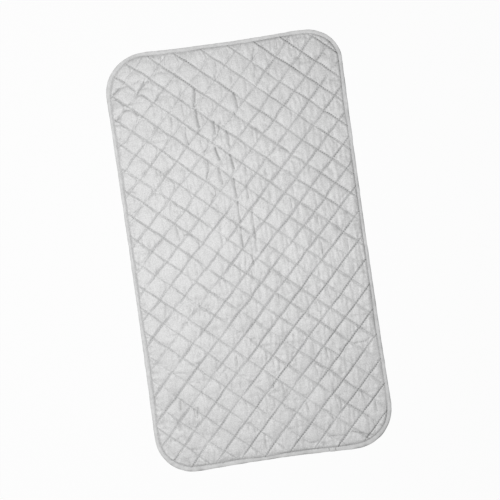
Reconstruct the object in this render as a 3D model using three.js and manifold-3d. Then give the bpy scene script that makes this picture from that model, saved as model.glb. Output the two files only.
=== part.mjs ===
// Quilted ironing pad: face cloth, wadding and backing cloth quilted together in diamonds, bound round the
// edge with folded tape, with a flat disc magnet in each corner. It lies on a table or on a steel top.
// Millimetres, +Z up, +Y along the length, origin at the centre of the underside.
import * as THREE from "three";
import { mergeVertices } from "three/addons/utils/BufferGeometryUtils.js";
import Module from "manifold-3d";

// Outline of the bound pad
const LENGTH = 850;
const WIDTH = 480;
const CORNER_RADIUS = 76;

// Layers, from the table up
const BACKING_THICKNESS = 0.4;
const WADDING_BOUND = 0.8; // wadding squeezed inside the binding
const WADDING_LOFT = 4.7; // wadding at the middle of a diamond
const FACE_THICKNESS = 0.4;
const LAYER_GAP = 0.3; // clearance between neighbouring pieces

// Quilting: rising rows climb to the right, falling rows drop to the right, angles from the X axis
const RISING_ANGLE = THREE.MathUtils.degToRad(45);
const RISING_PITCH = 35.5;
const RISING_OFFSET = 22.9; // the row nearest the centre, measured square to the rows
const FALLING_ANGLE = THREE.MathUtils.degToRad(42);
const FALLING_PITCH = 35.8;
const FALLING_OFFSET = 32.1;
const ROW_MARGIN = 3; // corners of the raised diamonds stay this far from the binding
const CROWN_MARGIN = 12; // and their crowns this far

// Binding tape, folded in a U over the cut edges of the layers
const TAPE_THICKNESS = 0.5;
const BINDING_WIDTH = 8;
const FOLD_RADIUS = 1.2;
const SLOPE_WIDTH = 6; // width beside the binding over which the underside comes down to the table

// Disc magnets
const MAGNET_DIAMETER = 20;
const MAGNET_THICKNESS = 1.5;
const MAGNET_CHAMFER = 0.2;
const MAGNET_FROM_SIDE = 56; // centre of the disc from the long edge
const MAGNET_FROM_END = 41; // centre of the disc from the short edge

// Facets on the round forms
const LAYER_CORNER_STEPS = 4;
const BINDING_CORNER_STEPS = 2 * LAYER_CORNER_STEPS;
const FOLD_STEPS = 4;
const DISC_SIDES = 32;

// Heights worked out from the layers
const RIM_LIFT = TAPE_THICKNESS + LAYER_GAP;
const WADDING_BASE = BACKING_THICKNESS + LAYER_GAP;
const STITCHED_TOP = WADDING_BASE + RIM_LIFT + WADDING_BOUND;
const CROWN_TOP = WADDING_BASE + WADDING_LOFT;
const FACE_BOTTOM = LAYER_GAP; // above the wadding's own upper surface
const FACE_TOP = FACE_BOTTOM + FACE_THICKNESS;
const BINDING_HEIGHT = STITCHED_TOP + FACE_TOP + RIM_LIFT;

// Insets from the outline worked out from the binding
const EDGE_INSET = FOLD_RADIUS; // the layers are trimmed where the tape starts to round
const LIP_INSET = BINDING_WIDTH + LAYER_GAP;
const FIELD_INSET = LIP_INSET + SLOPE_WIDTH;
const ROW_INSET = LIP_INSET + ROW_MARGIN;
const CROWN_INSET = LIP_INSET + CROWN_MARGIN;

const wasm = await Module();
wasm.setup();

// Rounded outline of the pad moved in by an inset, counterclockwise.
function outline(inset, cornerSteps) {
  const x = WIDTH / 2 - CORNER_RADIUS;
  const y = LENGTH / 2 - CORNER_RADIUS;
  const corners = [[x, y], [-x, y], [-x, -y], [x, -y]];
  const shape = new THREE.Shape();
  corners.forEach(([cornerX, cornerY], k) => {
    const start = (k * Math.PI) / 2;
    shape.absarc(cornerX, cornerY, CORNER_RADIUS - inset, start, start + Math.PI / 2);
  });
  return shape.getPoints(cornerSteps / 2);
}

// True where a point of the plan lies inside the outline moved in by an inset.
function isInside(point, inset) {
  const pastX = Math.max(Math.abs(point.x) - (WIDTH / 2 - CORNER_RADIUS), 0);
  const pastY = Math.max(Math.abs(point.y) - (LENGTH / 2 - CORNER_RADIUS), 0);
  return Math.hypot(pastX, pastY) <= CORNER_RADIUS - inset;
}

// Points of a flat outline raised to one height.
function raised(points, height) {
  return points.map((p) => new THREE.Vector3(p.x, p.y, height));
}

// Facets of the strip between two outlines of the same count, the first one outside.
function stripFaces(outer, inner, count) {
  const faces = [];
  for (let k = 0; k < count; k++) {
    const next = (k + 1) % count;
    faces.push([outer + k, outer + next, inner + next], [outer + k, inner + next, inner + k]);
  }
  return faces;
}

function geometryOf(points, faces) {
  const geometry = new THREE.BufferGeometry().setFromPoints(points);
  geometry.setIndex(faces.flat());
  geometry.computeVertexNormals();
  return geometry;
}

// Place where rising row i meets falling row j.
function crossing(i, j) {
  const rising = RISING_OFFSET + i * RISING_PITCH;
  const falling = FALLING_OFFSET + j * FALLING_PITCH;
  const spread = Math.sin(RISING_ANGLE + FALLING_ANGLE);
  const x = (Math.cos(FALLING_ANGLE) * rising + Math.cos(RISING_ANGLE) * falling) / spread;
  const y = (Math.sin(RISING_ANGLE) * falling - Math.sin(FALLING_ANGLE) * rising) / spread;
  return new THREE.Vector3(x, y, STITCHED_TOP);
}

// Crown of a diamond: over its middle, or drawn inwards where the binding cuts the diamond.
function crownOf(corners) {
  const middle = corners[0].clone().lerp(corners[2], 0.5);
  const kept = corners.filter((corner) => isInside(corner, ROW_INSET));
  const mean = new THREE.Vector3();
  kept.forEach((corner) => mean.addScaledVector(corner, 1 / kept.length));
  return middle.lerp(mean, 0.5).setZ(CROWN_TOP);
}

// Quilted diamonds: stitched down along their sides, with a crown between them. A quarter of a diamond, one
// side and the crown, is raised where it lies clear of the binding. The border is the loop of points round
// all of them, counterclockwise.
function quiltedDiamonds() {
  const points = [];
  const faces = [];
  const indices = new Map();
  const sides = new Map();
  const indexOf = (key, point) => {
    if (!indices.has(key)) indices.set(key, points.push(point) - 1);
    return indices.get(key);
  };
  const rows = Math.ceil(Math.hypot(LENGTH, WIDTH) / Math.min(RISING_PITCH, FALLING_PITCH));
  for (let i = -rows; i < rows; i++) {
    for (let j = -rows; j < rows; j++) {
      const places = [[i, j], [i + 1, j], [i + 1, j + 1], [i, j + 1]];
      const corners = places.map(([a, b]) => crossing(a, b));
      const crown = crownOf(corners);
      if (!isInside(crown, CROWN_INSET)) continue;
      corners.forEach((from, k) => {
        const next = (k + 1) % corners.length;
        if (![from, corners[next]].every((corner) => isInside(corner, ROW_INSET))) return;
        const quarter = [from, corners[next], crown];
        const keys = [places[k], places[next], [i, j, "crown"]];
        const face = quarter.map((point, n) => indexOf(keys[n].join(), point));
        faces.push(face);
        face.forEach((a, n) => {
          const b = face[(n + 1) % face.length];
          sides.set(`${a},${b}`, [a, b]);
        });
      });
    }
  }
  const onBorder = [...sides.values()].filter(([from, to]) => !sides.has(`${to},${from}`));
  const following = new Map(onBorder);
  const border = [onBorder[0][0]];
  while (border.length < following.size) border.push(following.get(border.at(-1)));
  return { points, faces, border };
}

const diamonds = quiltedDiamonds();

// Quilted surface at a height above the top of the wadding. It is flat inside the binding.
function quiltedSheet(height) {
  const lip = outline(LIP_INSET, LAYER_CORNER_STEPS);
  const count = lip.length;
  const points = [
    ...raised(outline(EDGE_INSET, LAYER_CORNER_STEPS), STITCHED_TOP + height),
    ...raised(lip, STITCHED_TOP + height),
    ...diamonds.points.map((p) => new THREE.Vector3(p.x, p.y, p.z + height)),
  ];
  const hole = diamonds.border.toReversed();
  const order = [...lip.keys().map((k) => k + count), ...hole.map((k) => k + 2 * count)];
  const margin = THREE.ShapeUtils.triangulateShape(lip, [hole.map((k) => diamonds.points[k])]);
  const faces = [
    ...stripFaces(0, count, count),
    ...margin.map((face) => face.map((k) => order[k])),
    ...diamonds.faces.map((face) => face.map((k) => k + 2 * count)),
  ];
  return { points, faces, rimCount: count };
}

// Plain surface that lies flat on the table and rises to pass over the binding's lower lip.
function underSheet(height) {
  const field = outline(FIELD_INSET, LAYER_CORNER_STEPS);
  const count = field.length;
  const points = [
    ...raised(outline(EDGE_INSET, LAYER_CORNER_STEPS), height + RIM_LIFT),
    ...raised(outline(LIP_INSET, LAYER_CORNER_STEPS), height + RIM_LIFT),
    ...raised(field, height),
  ];
  const middle = THREE.ShapeUtils.triangulateShape(field, []);
  const faces = [
    ...stripFaces(0, count, count),
    ...stripFaces(count, 2 * count, count),
    ...middle.map((face) => face.map((k) => k + 2 * count)),
  ];
  return { points, faces, rimCount: count };
}

// One layer: a lower and an upper sheet closed along their rims.
function layerGeometry(lower, upper) {
  const shift = lower.points.length;
  const faces = [
    ...lower.faces.map(([a, b, c]) => [a, c, b]),
    ...upper.faces.map((face) => face.map((k) => k + shift)),
    ...stripFaces(0, shift, lower.rimCount),
  ];
  return geometryOf([...lower.points, ...upper.points], faces);
}

// Geometry as a solid that can be cut.
function solidOf(geometry) {
  const bare = geometry.clone().deleteAttribute("normal").deleteAttribute("uv");
  const merged = mergeVertices(bare);
  const vertProperties = merged.getAttribute("position").array;
  const triVerts = new Uint32Array(merged.index.array);
  return new wasm.Manifold(new wasm.Mesh({ numProp: 3, vertProperties, triVerts }));
}

function geometryOfSolid(solid) {
  const { vertProperties, triVerts } = solid.getMesh();
  const geometry = new THREE.BufferGeometry();
  geometry.setAttribute("position", new THREE.BufferAttribute(vertProperties, 3));
  geometry.setIndex(new THREE.BufferAttribute(triVerts, 1));
  geometry.computeVertexNormals();
  return geometry;
}

// Face cloth: an even thickness of cloth drawn down along every row of stitches.
function topCover() {
  return layerGeometry(quiltedSheet(FACE_BOTTOM), quiltedSheet(FACE_TOP));
}

// Wadding: fills the diamonds from below, with a round hole for each magnet.
function wadding() {
  let solid = solidOf(layerGeometry(underSheet(WADDING_BASE), quiltedSheet(0)));
  const radius = MAGNET_DIAMETER / 2 + LAYER_GAP;
  const hole = new THREE.CylinderGeometry(radius, radius, 2 * CROWN_TOP, DISC_SIDES);
  hole.rotateX(Math.PI / 2);
  for (const { x, y } of magnetPlaces()) {
    solid = solid.subtract(solidOf(hole.clone().translate(x, y, CROWN_TOP)));
  }
  return geometryOfSolid(solid);
}

// Backing cloth: the plain underside.
function backingCloth() {
  return layerGeometry(underSheet(0), underSheet(BACKING_THICKNESS));
}

// Edge binding: the U of the folded tape carried round the outline as one closed ring.
function edgeBinding() {
  const fold = new THREE.Path();
  const low = FOLD_RADIUS;
  const high = BINDING_HEIGHT - FOLD_RADIUS;
  const inner = FOLD_RADIUS - TAPE_THICKNESS;
  const quarter = Math.PI / 2;
  fold.moveTo(-BINDING_WIDTH, 0);
  fold.absarc(-FOLD_RADIUS, low, FOLD_RADIUS, -quarter, 0);
  fold.absarc(-FOLD_RADIUS, high, FOLD_RADIUS, 0, quarter);
  fold.lineTo(-BINDING_WIDTH, BINDING_HEIGHT);
  fold.lineTo(-BINDING_WIDTH, BINDING_HEIGHT - TAPE_THICKNESS);
  fold.absarc(-FOLD_RADIUS, high, inner, quarter, 0, true);
  fold.absarc(-FOLD_RADIUS, low, inner, 0, -quarter, true);
  fold.lineTo(-BINDING_WIDTH, TAPE_THICKNESS);
  const section = fold.getPoints(FOLD_STEPS / 2);
  const rings = section.map((p) => raised(outline(-p.x, BINDING_CORNER_STEPS), p.y));
  const count = rings[0].length;
  const faces = rings.flatMap((_, k) => stripFaces(k * count, ((k + 1) % rings.length) * count, count));
  return geometryOf(rings.flat(), faces);
}

// Disc magnet with broken edges, standing on its lower face.
function discMagnet() {
  const radius = MAGNET_DIAMETER / 2;
  const profile = [
    new THREE.Vector2(0, 0),
    new THREE.Vector2(radius - MAGNET_CHAMFER, 0),
    new THREE.Vector2(radius, MAGNET_CHAMFER),
    new THREE.Vector2(radius, MAGNET_THICKNESS - MAGNET_CHAMFER),
    new THREE.Vector2(radius - MAGNET_CHAMFER, MAGNET_THICKNESS),
    new THREE.Vector2(0, MAGNET_THICKNESS),
  ];
  return new THREE.LatheGeometry(profile, DISC_SIDES).rotateX(Math.PI / 2);
}

// The four corners of the pad, with the front at -Y.
function magnetPlaces() {
  const x = WIDTH / 2 - MAGNET_FROM_SIDE;
  const y = LENGTH / 2 - MAGNET_FROM_END;
  return [
    { name: "magnet_front_left", x: -x, y: -y },
    { name: "magnet_front_right", x, y: -y },
    { name: "magnet_back_left", x: -x, y },
    { name: "magnet_back_right", x, y },
  ];
}

function piece(name, geometry, material) {
  const mesh = new THREE.Mesh(geometry, new THREE.MeshStandardMaterial(material));
  mesh.name = name;
  return mesh;
}

const pad = new THREE.Group();
pad.name = "ironing_pad";
pad.add(piece("backing_cloth", backingCloth(), { color: 0xb7b8ba, roughness: 0.9, metalness: 0 }));
pad.add(piece("wadding", wadding(), { color: 0xf1f0ec, roughness: 1, metalness: 0 }));
pad.add(piece("top_cover", topCover(), { color: 0xcacbcc, roughness: 0.5, metalness: 0.3 }));
pad.add(piece("edge_binding", edgeBinding(), { color: 0xcfd0d1, roughness: 0.7, metalness: 0.1 }));
for (const { name, x, y } of magnetPlaces()) {
  const magnet = piece(name, discMagnet(), { color: 0x9a9da1, roughness: 0.3, metalness: 0.9 });
  magnet.position.set(x, y, WADDING_BASE);
  pad.add(magnet);
}

export default pad;
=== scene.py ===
import bpy
import numpy as np
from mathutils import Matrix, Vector


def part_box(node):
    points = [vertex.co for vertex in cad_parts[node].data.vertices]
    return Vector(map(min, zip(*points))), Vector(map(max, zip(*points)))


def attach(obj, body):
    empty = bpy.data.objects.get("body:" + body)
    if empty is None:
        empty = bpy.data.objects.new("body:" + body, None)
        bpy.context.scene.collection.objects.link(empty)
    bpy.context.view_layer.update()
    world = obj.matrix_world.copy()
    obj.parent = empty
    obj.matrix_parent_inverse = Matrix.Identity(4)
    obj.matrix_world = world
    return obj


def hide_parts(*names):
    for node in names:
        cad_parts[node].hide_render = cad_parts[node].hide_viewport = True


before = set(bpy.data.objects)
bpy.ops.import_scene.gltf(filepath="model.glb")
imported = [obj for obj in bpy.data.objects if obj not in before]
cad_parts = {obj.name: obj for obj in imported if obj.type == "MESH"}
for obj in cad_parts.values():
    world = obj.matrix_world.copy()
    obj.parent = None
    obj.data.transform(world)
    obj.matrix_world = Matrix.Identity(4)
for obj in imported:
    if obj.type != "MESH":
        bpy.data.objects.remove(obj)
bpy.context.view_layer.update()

# Backing cloth
# The plain cotton sheet that lies on the table. It is cut to the pad's outline, sewn to the other layers
# by the quilting rows, which dimple it, and bound in with them at the edge.

MM = 0.001
HALF_WIDTH = 240.0  # from the middle of the pad to its bound edge
HALF_LENGTH = 425.0
CORNERS = ((1, -1, 80.0), (1, 1, 66.0), (-1, 1, 80.0), (-1, -1, 75.0))  # side, end and radius as it was sewn
RISING_ANGLE = np.radians(45)  # rising rows climb to the right
RISING_PITCH = 35.56
RISING_OFFSET = 24.2  # row 0 from the middle of the pad
FALLING_ANGLE = np.radians(42)  # falling rows drop to the right
FALLING_PITCH = 35.86
FALLING_OFFSET = 32.8
ROW_FIRST = -15
ROW_LAST = 14
CLOTH_STEPS = 18  # cloth threads followed across one diamond
CLOTH_CROWDING = 0.35  # share by which they lie closer together beside the rows
CUT_INSET = 5.2  # the layers are trimmed this far inside the bound edge
TAPE_INSET = 7.6  # the tape covers them this far in, a little more or less from place to place
TAPE_LEAST = 6.5  # but always this far
NOISE_WIDTH = 560.0  # soft noise covers this much of the table
NOISE_LENGTH = 960.0
NOISE_SPREAD = 0.48  # spread that unit random values have left once they are smoothed
BACKING_THICKNESS = 0.25
BACKING_REST = 0.35  # underside between the rows, above the table
BACKING_LEAST = 0.25  # and nowhere lower than this
BACKING_DIMPLE = 0.55  # the stitches pull it up this much
DIMPLE_WIDTH = 3.5


def inset_of(x, y):
    """Distance inwards from the bound edge: the signed distance of a rectangle with round corners."""
    radius = np.zeros_like(x)
    for right, back, corner in CORNERS:
        radius = np.where((x * right >= 0) & (y * back >= 0), corner, radius)
    side = np.abs(x) - (HALF_WIDTH - radius)
    end = np.abs(y) - (HALF_LENGTH - radius)
    outside = np.hypot(np.maximum(side, 0), np.maximum(end, 0))
    return radius - outside - np.minimum(np.maximum(side, end), 0)


def soft_noise(seed, x, y, across, along):
    """Smooth random height of about unit spread: random values on a grid of across by along millimetres,
    read between its points with the four cubic B-spline weights in each direction."""
    size = (int(NOISE_WIDTH / across) + 6, int(NOISE_LENGTH / along) + 6)
    values = np.random.default_rng(seed).normal(size=size)
    u = np.clip(x + NOISE_WIDTH / 2, 0, NOISE_WIDTH) / across + 1
    v = np.clip(y + NOISE_LENGTH / 2, 0, NOISE_LENGTH) / along + 1
    iu, iv = np.floor(u).astype(int), np.floor(v).astype(int)

    def weights(t):
        near = (3 * t**3 - 6 * t**2 + 4) / 6
        far = (-3 * t**3 + 3 * t**2 + 3 * t + 1) / 6
        return (1 - t) ** 3 / 6, near, far, t**3 / 6

    total = np.zeros_like(x)
    for du, wu in enumerate(weights(u - iu)):
        for dv, wv in enumerate(weights(v - iv)):
            total += wu * wv * values[iu + du - 1, iv + dv - 1]
    return total / NOISE_SPREAD


def tape_reach(x, y):
    """How far in from the bound edge the tape's inner edge lies at a place. It was fed by hand, so it is
    wider towards some sides, by straight lines between their middles, and wanders with a soft noise."""
    by_side = np.interp(x, (-HALF_WIDTH, 0, HALF_WIDTH), (-0.2, 0.4, -1.2))
    by_end = np.interp(y, (-HALF_LENGTH, 0, HALF_LENGTH), (0.9, 0, 0.2))
    return np.maximum(TAPE_INSET + (by_side + by_end) + 0.8 * soft_noise(24, x, y, 30, 30), TAPE_LEAST)


def row_crossing(rising, falling):
    """Point in plan where a rising row and a falling row meet, from each row's distance to the centre."""
    between = np.sin(RISING_ANGLE + FALLING_ANGLE)
    x = (np.cos(FALLING_ANGLE) * rising + np.cos(RISING_ANGLE) * falling) / between
    y = (np.sin(RISING_ANGLE) * falling - np.sin(FALLING_ANGLE) * rising) / between
    return x, y


def quilt_plan(a, b):
    """Plan of the quilting in row numbers a (rising) and b (falling). The rows were pulled out of line as
    they were sewn: each bends by a few millimetres towards the ends and sides, as a cubic of its place
    across the pad, u, and along it, t, and wavers by half a millimetre."""
    rising = RISING_OFFSET + RISING_PITCH * a
    falling = FALLING_OFFSET + FALLING_PITCH * b
    x, y = row_crossing(rising, falling)
    u = np.clip(x / HALF_WIDTH, -1.1, 1.1)
    t = np.clip(y / HALF_LENGTH, -1.1, 1.1)
    rising += 0.2 + 1.7 * t - 5.1 * t**3 - 1.5 * u**2 + 0.9 * t * u - 1.5 * t * u**2
    rising += 0.4 * soft_noise(11, x, y, 50, 50) + (0.6 + 0.25 * (t - u)) * soft_noise(13, x, y, 15, 15)
    falling += 1.2 * t**2 + 1.1 * u**2 - u - 1.1 - 1.2 * t * u
    falling += 3.2 * t**2 * u + 1.4 * t * u**2 + 1.3 * u**3
    falling += 0.4 * soft_noise(12, x, y, 50, 50) + 0.5 * soft_noise(14, x, y, 15, 15)
    return row_crossing(rising, falling)


thread_lines = np.arange(ROW_FIRST * CLOTH_STEPS, ROW_LAST * CLOTH_STEPS + 1) / CLOTH_STEPS
thread_lines -= CLOTH_CROWDING * np.sin(2 * np.pi * thread_lines) / (2 * np.pi)
row_a, row_b = np.meshgrid(thread_lines, thread_lines, indexing="ij")
plan_x, plan_y = quilt_plan(row_a, row_b)
inset = inset_of(plan_x, plan_y)
reach = tape_reach(plan_x, plan_y)
from_rising = np.abs((row_a + 0.5) % 1 - 0.5) * RISING_PITCH
from_falling = np.abs((row_b + 0.5) % 1 - 0.5) * FALLING_PITCH
from_row = np.minimum(from_rising, from_falling)
alternate = np.s_[::2, ::2]  # the backing and the wadding follow every other thread


def cloth_noise(seed, across, along):
    """Soft noise at every point of the cloth grid."""
    return soft_noise(seed, plan_x, plan_y, across, along)


def cut_sheet(inside):
    """Points that a cut sheet keeps and its squares, as indices into those points: every square of the cloth
    grid with a corner inside the cut line."""
    squares = inside[:-1, :-1] | inside[1:, :-1] | inside[1:, 1:] | inside[:-1, 1:]
    kept = np.zeros_like(inside)
    for i in (0, 1):
        for j in (0, 1):
            kept[i : i + squares.shape[0], j : j + squares.shape[1]] |= squares
    number = np.cumsum(kept.ravel()).reshape(kept.shape) - 1
    corners = (number[1:, :-1], number[1:, 1:], number[:-1, 1:], number[:-1, :-1])
    return kept, np.stack([c[squares] for c in corners], axis=-1)


def onto_cut(x, y, cut):
    """Plan with every point outside the cut line drawn straight in to it, up the slope of the inset."""
    short = np.maximum(cut - inset_of(x, y), 0)
    slope_x = inset_of(x + 0.5, y) - inset_of(x - 0.5, y)
    slope_y = inset_of(x, y + 0.5) - inset_of(x, y - 0.5)
    return x + slope_x * short, y + slope_y * short


def drawn_in(points):
    """Points as they lie in the finished pad. Quilting draws each side in by a millimetre at its middle and
    leaves the corners standing out by up to two: a shift outwards that grows with the square of the distance
    from the side's middle, and fades with an exponential of the distance from the edge."""
    x, y = points[:, 0], points[:, 1]
    sideways = np.clip(2.7 * (y / 340) ** 2 - 1, -1, 1.7) * np.where(x > 0, 1, 0.7)
    endways = np.clip(3.2 * (x / 150) ** 2 - 1.2, -1.2, 1.9)
    endways *= np.where(y > 0, np.clip((200 - np.abs(x)) / 50, 0, 1), 1)  # the back corners are rounder
    fade = np.exp(-np.abs(inset_of(x, y)) / 12)
    shift_x = (x / HALF_WIDTH) ** 3 * sideways * fade
    shift_y = (y / HALF_LENGTH) ** 3 * endways * fade
    return points + np.stack([shift_x, shift_y, np.zeros_like(x)], -1)


def new_piece(name, points, faces):
    """Smooth mesh object from points in millimetres and an array of faces with equally many corners."""
    mesh = bpy.data.meshes.new(name)
    places = drawn_in(np.asarray(points, float)) * MM
    mesh.vertices.add(len(points))
    mesh.vertices.foreach_set("co", places.astype(np.float32).ravel())
    mesh.loops.add(faces.size)
    mesh.loops.foreach_set("vertex_index", faces.astype(np.int32).ravel())
    mesh.polygons.add(len(faces))
    mesh.polygons.foreach_set("loop_start", np.arange(0, faces.size, faces.shape[1], dtype=np.int32))
    mesh.polygons.foreach_set("use_smooth", np.ones(len(faces), bool))
    mesh.update(calc_edges=True)
    mesh.validate()
    piece = bpy.data.objects.new(name, mesh)
    bpy.context.scene.collection.objects.link(piece)
    return piece


def linear(code):
    """Linear colour from an sRGB hex code."""
    part = np.array([int(code[k : k + 2], 16) for k in (1, 3, 5)]) / 255
    return (*np.where(part <= 0.04045, part / 12.92, ((part + 0.055) / 1.055) ** 2.4), 1.0)


def wave_scale(spacing):
    """Scale at which a wave texture repeats at a spacing: its period is 2 pi / 20 over its scale."""
    return 2 * np.pi / (20 * spacing)


def new_material(name):
    """Material with no nodes yet."""
    material = bpy.data.materials.new(name)
    material.use_nodes = True
    material.node_tree.nodes.clear()
    return material


def node(material, kind, links=None, stops=(), **settings):
    """Adds a shader node, sets its properties and the place and colour of each stop of a colour ramp, and
    gives each named or numbered input a value, or a link from an output or from a node's first output."""
    made = material.node_tree.nodes.new("ShaderNode" + kind)
    for key, value in settings.items():
        setattr(made, key, value)
    for number, (position, code) in enumerate(stops):
        made.color_ramp.elements[number].position = position
        made.color_ramp.elements[number].color = linear(code)
    for key, value in (links or {}).items():
        if isinstance(value, bpy.types.Node):
            value = value.outputs[0]
        if isinstance(value, bpy.types.NodeSocket):
            material.node_tree.links.new(value, made.inputs[key])
        else:
            made.inputs[key].default_value = value
    return made


backing_kept, backing_faces = cut_sheet(inset[alternate] > CUT_INSET)
backing_height = BACKING_REST + BACKING_DIMPLE * np.exp(-from_row / DIMPLE_WIDTH)
backing_height += 0.08 * cloth_noise(21, 9, 14)
bound_in = 0.95 - 0.12 * (np.maximum(inset, CUT_INSET) - reach)  # it rises to lie on the tape's lower side
backing_height = np.where(inset < reach + 5, np.maximum(backing_height, bound_in), backing_height)
backing_height = np.maximum(backing_height, BACKING_LEAST)[alternate]
backing_x, backing_y = onto_cut(plan_x[alternate], plan_y[alternate], CUT_INSET)
backing_points = np.stack([backing_x, backing_y, backing_height], -1)[backing_kept]
backing = new_piece("backing_cloth_sheet", backing_points, backing_faces[:, ::-1])
thickness = backing.modifiers.new("cloth thickness", "SOLIDIFY")
thickness.thickness = BACKING_THICKNESS * MM
thickness.offset = -1

# Grey cotton calico, plain woven: matt, with slubs and an even over-and-under weave.
# Its threads are 0.5 mm apart, drawn at 1.2 mm so that the weave shows.
calico = new_material("woven grey cotton calico")
place = node(calico, "TexCoord").outputs["Object"]
threads = {"Vector": place, "Scale": wave_scale(1.2 * MM), "Distortion": 0.6, "Detail": 2.0,
           "Detail Scale": 1.5}
warp, weft = (node(calico, "TexWave", threads, bands_direction=way) for way in "XY")
weave = node(calico, "Math", {0: warp.outputs["Fac"], 1: weft.outputs["Fac"]}, operation="MULTIPLY")
slub = node(calico, "TexNoise", {"Vector": place, "Scale": 1 / (14 * MM), "Detail": 5.0})
tone = node(calico, "Math", {0: weave, 1: 0.45, 2: slub}, operation="MULTIPLY_ADD")
colour = node(calico, "ValToRGB", {"Fac": tone}, stops=((0.25, "#a4a5a7"), (0.95, "#c5c6c7")))
relief = node(calico, "Bump", {"Height": weave, "Strength": 0.5, "Distance": 0.25 * MM})
shade = node(calico, "BsdfPrincipled", {"Base Color": colour, "Roughness": 0.92, "Specular IOR Level": 0.25,
                                        "Sheen Weight": 0.15, "Normal": relief})
node(calico, "OutputMaterial", {"Surface": shade})
backing.data.materials.append(calico)
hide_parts("backing_cloth")
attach(backing, "root")

# Corner magnets
# Four nickel-plated discs that lie on the backing in holes in the wadding and hold the pad on a steel top.
# They are the CAD discs, with a better finish.

MAGNETS = ("magnet_front_left", "magnet_front_right", "magnet_back_left", "magnet_back_right")

# Bright nickel plate, tumbled: warm grey metal, scuffed in spots 1.5 mm across that dull its gloss.
nickel = new_material("nickel plated magnet")
place = node(nickel, "TexCoord").outputs["Object"]
scuff = node(nickel, "TexNoise", {"Vector": place, "Scale": 1 / (1.5 * MM), "Detail": 6.0, "Roughness": 0.7})
colour = node(nickel, "ValToRGB", {"Fac": scuff}, stops=((0.3, "#a3a09a"), (0.75, "#c6c3bb")))
gloss = node(nickel, "MapRange", {"Value": scuff, "To Min": 0.2, "To Max": 0.42})
relief = node(nickel, "Bump", {"Height": scuff, "Strength": 0.2, "Distance": 0.05 * MM})
shade = node(nickel, "BsdfPrincipled",
             {"Base Color": colour, "Metallic": 1.0, "Roughness": gloss, "Normal": relief})
node(nickel, "OutputMaterial", {"Surface": shade})
for magnet in MAGNETS:
    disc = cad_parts[magnet]
    disc.data.materials.clear()
    disc.data.materials.append(nickel)

# Face cloth
# Cotton coated with aluminium, crisp as thin card. It is sewn down along the quilting rows over springy
# wadding, with more cloth than room across the pad, so it swells between the rows, puckers and creases.

STITCHED_TOP = 3.0  # face beside the stitches, above the table
TAPED_TOP = 2.2  # and where it is squeezed inside the tape
LOWEST_CREASE = 1.6
GROOVE = 0.8  # the stitches themselves pull the cloth this much further in
GROOVE_WIDTH = 1.2
ROW_DEPTH = 1.32  # dip of the cloth at a row
STEEP_SIDE, GENTLE_SIDE = 0.85, 1.45  # share of a dip's width on the right and the left of a row
SWELL = 0.65  # gentle dome of a diamond above its rows
PILLOW = 0.35  # round pillow that stands up in the looser diamonds near the back left corner
PILLOW_SHAPE = 2.6  # its outline lies between a circle, 2, and a square
SPARE_ACROSS, SPARE_ALONG = 0.022, 0.012  # share of cloth to spare in the two directions
RELAX_ROUNDS = 150
FOLD_WIDTH = 1.1  # distance over which the side of a crease rises
FOLD_CORE = 0.8  # a thread this close to a crease lies in it
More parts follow.
